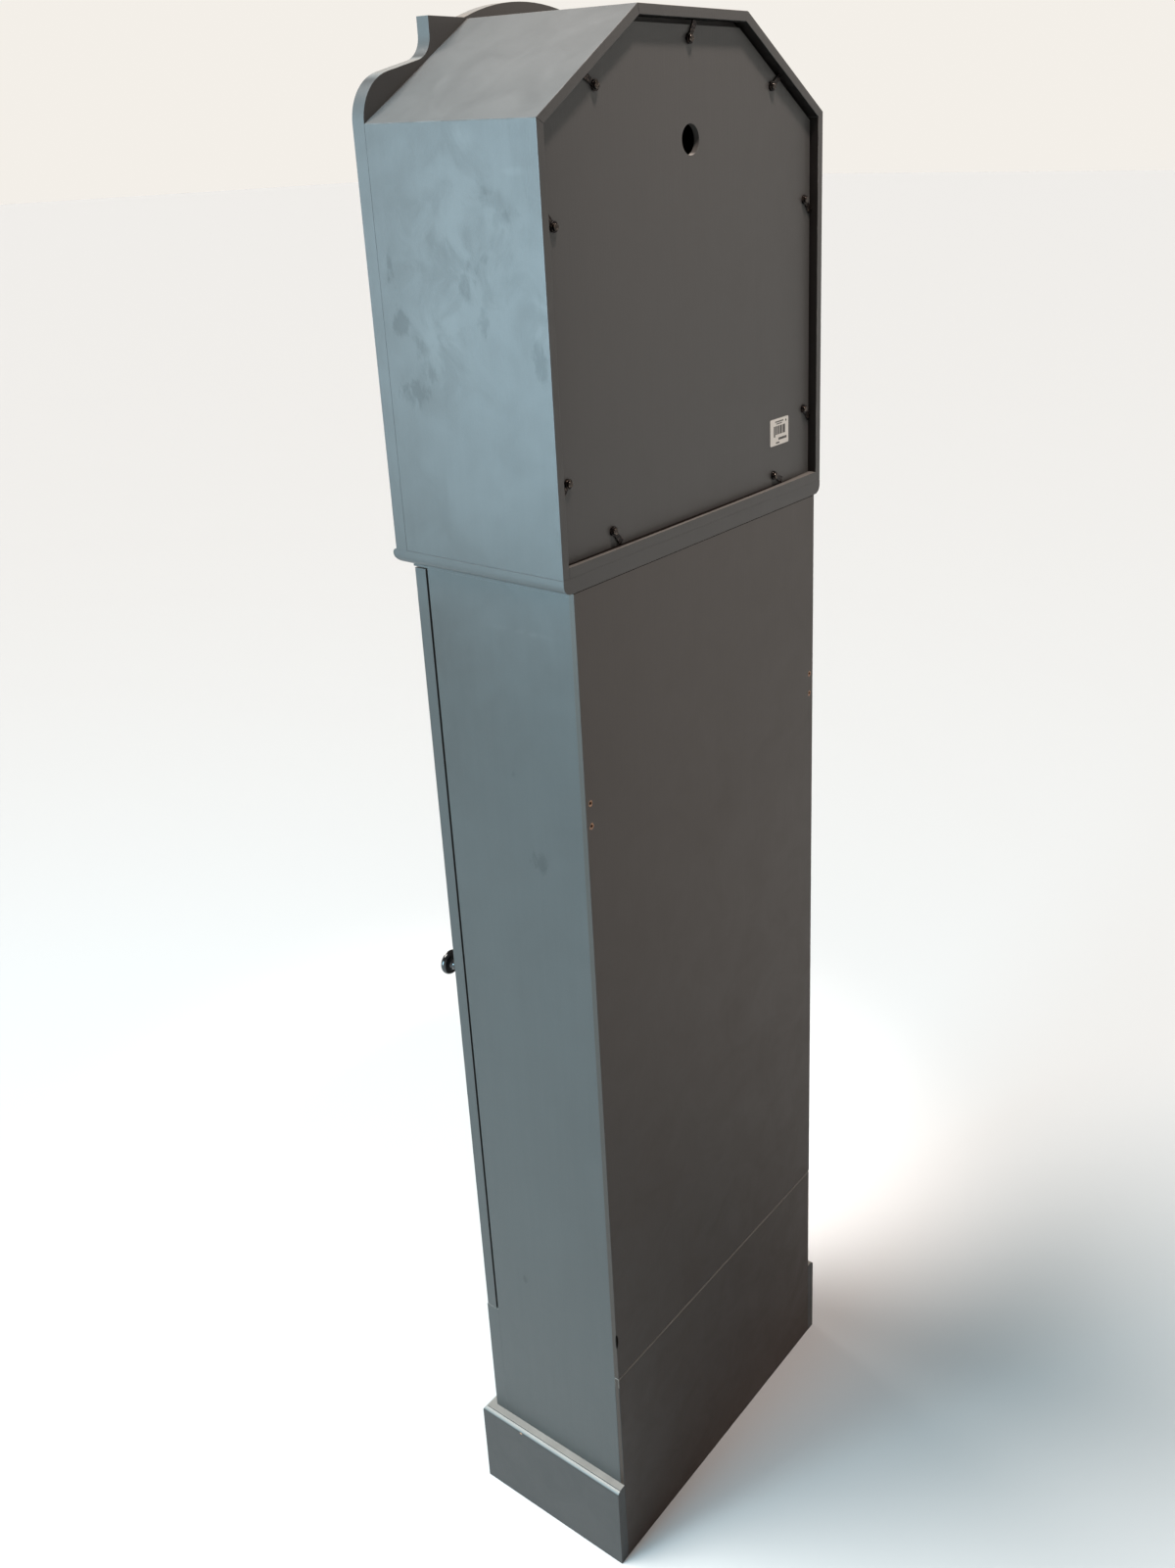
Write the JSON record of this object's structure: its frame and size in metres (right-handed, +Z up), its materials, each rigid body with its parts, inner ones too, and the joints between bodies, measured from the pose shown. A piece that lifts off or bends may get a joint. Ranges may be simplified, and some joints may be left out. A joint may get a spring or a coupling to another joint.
{
  "type": "clock cabinet",
  "caption": "Tall painted clock cabinet: shaped hood with a round glazed dial and a clipped back panel, a cupboard trunk behind a hinged door, and a moulded plinth.",
  "frame": {"origin": "centre of the bounding box on the floor, halfway between the flat back and the tip of the door knob", "axes": "+Z up, front with dial and door facing -Y, +X to the right seen from the front"},
  "size_m": [0.457, 0.237, 1.768],
  "materials": {
    "cabinet_paint": "satin cool grey paint over board, lightly worn",
    "inner_paint": "matt grey paint over board",
    "raw_softwood": "unpainted softwood strip",
    "bronzed_steel": "dark bronze plated, semi-gloss",
    "label_paper": "plain matt paper",
    "plated_steel": "zinc plated",
    "hinge_brass": "satin brass",
    "knob_gloss": "black gloss",
    "dial_enamel": "satin cream enamel with plain numbers",
    "bezel_brass": "polished brass",
    "clear_glass": "clear flat glass",
    "hand_black": "satin black",
    "movement_plastic": "moulded black plastic",
    "battery_wrap": "plain wrapped cell",
    "catch_plastic": "moulded white plastic"
  },
  "bodies": {
    "cabinet": {"hood_side_right": "cabinet_paint", "hood_side_left": "cabinet_paint", "hood_slope_right": "cabinet_paint", "hood_slope_left": "cabinet_paint", "hood_top": "cabinet_paint", "pediment_board": "cabinet_paint", "hood_base_board": "cabinet_paint", "hood_rear_rail": "cabinet_paint", "hood_back_panel": "cabinet_paint", "trunk_side_right": "cabinet_paint", "trunk_side_left": "cabinet_paint", "trunk_top_board": "cabinet_paint", "back_panel_upper": "cabinet_paint", "back_panel_lower": "cabinet_paint", "lower_front_panel": "cabinet_paint", "skirting_front": "cabinet_paint", "skirting_right": "cabinet_paint", "skirting_left": "cabinet_paint", "trunk_floor_board": "inner_paint", "shelf_upper": "inner_paint", "shelf_lower": "inner_paint", "cleat_right": "raw_softwood", "cleat_left": "raw_softwood", "cleat_slope_right": "raw_softwood", "cleat_slope_left": "raw_softwood", "cleat_top": "raw_softwood", "clip_screws": "bronzed_steel", "blank_label": "label_paper", "hood_fixing_screws": "plated_steel", "dial_screws": "plated_steel", "hinge_screws_case": "plated_steel", "shelf_pins": "plated_steel", "hinge_leaves_case": "hinge_brass", "dial_plate": "dial_enamel", "dial_bezel": "bezel_brass", "movement_nut": "bezel_brass", "dial_glass": "clear_glass", "movement_case": "movement_plastic", "battery": "battery_wrap", "magnetic_catch": "catch_plastic"},
    "door_leaf": {"door": "cabinet_paint", "door_knob": "knob_gloss", "knob_screw": "plated_steel", "hinge_leaves_door": "hinge_brass", "hinge_screws_door": "plated_steel", "catch_plate": "plated_steel"},
    "minute_train": {"minute_hand": "hand_black", "minute_shaft": "bezel_brass", "hand_nut": "bezel_brass"},
    "hour_train": {"hour_hand": "hand_black"},
    "setting_wheel": {"setting_knob": "movement_plastic"},
    "clip_top": {"turn_clip_top": "bronzed_steel"},
    "clip_slope_right": {"turn_clip_slope_right": "bronzed_steel"},
    "clip_slope_left": {"turn_clip_slope_left": "bronzed_steel"},
    "clip_upper_right": {"turn_clip_upper_right": "bronzed_steel"},
    "clip_upper_left": {"turn_clip_upper_left": "bronzed_steel"},
    "clip_lower_right": {"turn_clip_lower_right": "bronzed_steel"},
    "clip_lower_left": {"turn_clip_lower_left": "bronzed_steel"},
    "clip_foot_right": {"turn_clip_foot_right": "bronzed_steel"},
    "clip_foot_left": {"turn_clip_foot_left": "bronzed_steel"}
  },
  "joints": [
    {"name": "door_hinge", "type": "hinge", "parent": "cabinet", "child": "door_leaf", "pos_m": [-0.2184, -0.0725, 0.7685], "axis": [0, 0, -1], "range_deg": [0, 170]},
    {"name": "clip_top_turn", "type": "hinge", "parent": "cabinet", "child": "clip_top", "pos_m": [0, 0.1104, 1.7245], "axis": [0, -1, 0], "range_deg": [0, 180]},
    {"name": "clip_slope_right_turn", "type": "hinge", "parent": "cabinet", "child": "clip_slope_right", "pos_m": [0.14109, 0.1104, 1.68455], "axis": [0, 1, 0], "range_deg": [0, 180]},
    {"name": "clip_slope_left_turn", "type": "hinge", "parent": "cabinet", "child": "clip_slope_left", "pos_m": [-0.14109, 0.1104, 1.68455], "axis": [0, -1, 0], "range_deg": [0, 180]},
    {"name": "clip_upper_right_turn", "type": "hinge", "parent": "cabinet", "child": "clip_upper_right", "pos_m": [0.205, 0.1104, 1.57367], "axis": [0, -1, 0], "range_deg": [0, 180]},
    {"name": "clip_upper_left_turn", "type": "hinge", "parent": "cabinet", "child": "clip_upper_left", "pos_m": [-0.205, 0.1104, 1.57367], "axis": [0, -1, 0], "range_deg": [0, 180]},
    {"name": "clip_lower_right_turn", "type": "hinge", "parent": "cabinet", "child": "clip_lower_right", "pos_m": [0.205, 0.1104, 1.35199], "axis": [0, 1, 0], "range_deg": [0, 180]},
    {"name": "clip_lower_left_turn", "type": "hinge", "parent": "cabinet", "child": "clip_lower_left", "pos_m": [-0.205, 0.1104, 1.35199], "axis": [0, -1, 0], "range_deg": [0, 180]},
    {"name": "clip_foot_right_turn", "type": "hinge", "parent": "cabinet", "child": "clip_foot_right", "pos_m": [0.14289, 0.1104, 1.2935], "axis": [0, 1, 0], "range_deg": [0, 180]},
    {"name": "clip_foot_left_turn", "type": "hinge", "parent": "cabinet", "child": "clip_foot_left", "pos_m": [-0.14289, 0.1104, 1.289], "axis": [0, 1, 0], "range_deg": [0, 180]},
    {"name": "minute_hand_turn", "type": "hinge", "parent": "cabinet", "child": "minute_train", "pos_m": [0, -0.0915, 1.48463], "axis": [0, 1, 0], "continuous": true},
    {"name": "hour_hand_turn", "type": "hinge", "parent": "cabinet", "child": "hour_train", "pos_m": [0, -0.0885, 1.48463], "axis": [0, 1, 0], "continuous": true},
    {"name": "setting_knob_turn", "type": "hinge", "parent": "cabinet", "child": "setting_wheel", "pos_m": [0, -0.0635, 1.50162], "axis": [0, 1, 0], "continuous": true}
  ],
  "couplings": [
    {"joint": "hour_hand_turn", "follows": "minute_hand_turn", "ratio": 0.083333},
    {"joint": "setting_knob_turn", "follows": "minute_hand_turn", "ratio": -1}
  ]
}
